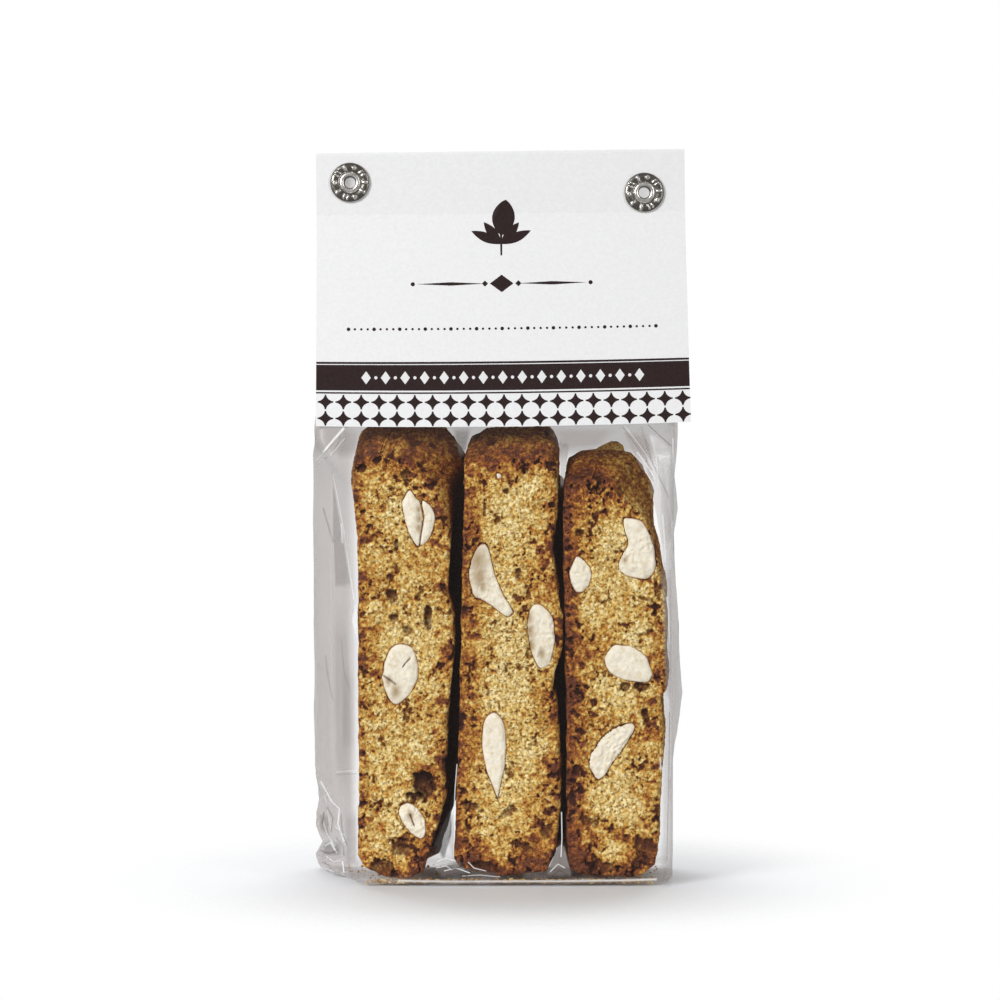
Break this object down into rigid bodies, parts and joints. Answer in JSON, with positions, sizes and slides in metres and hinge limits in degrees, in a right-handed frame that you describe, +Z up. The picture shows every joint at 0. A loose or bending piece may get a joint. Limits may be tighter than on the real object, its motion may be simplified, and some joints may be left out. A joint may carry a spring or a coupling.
{
  "type": "bagged almond biscotti",
  "caption": "Clear block-bottom bag of almond biscotti standing cut face outward, closed by a folded printed header card with hollow rivets.",
  "frame": {"origin": "middle of the floor under the pack", "axes": "+X to the right and -Y out of the pack's front, +Z up from its base to the fold of the header card"},
  "size_m": [0.0998, 0.04, 0.1932],
  "materials": {
    "film": "clear glossy film, creased",
    "card": "smooth white card, satin",
    "print": "dark brown ink on card, satin",
    "metal": "dark nickel plate, bright on the edges",
    "crumb": "porous baked crumb, matte",
    "crust": "browned crust, matte",
    "almond": "cut almond, matte",
    "almond_skin": "almond skin, matte"
  },
  "bodies": {
    "root": {"bag": "film", "header_card": "card", "rivet_left": "metal", "rivet_right": "metal"}
  },
  "joints": []
}
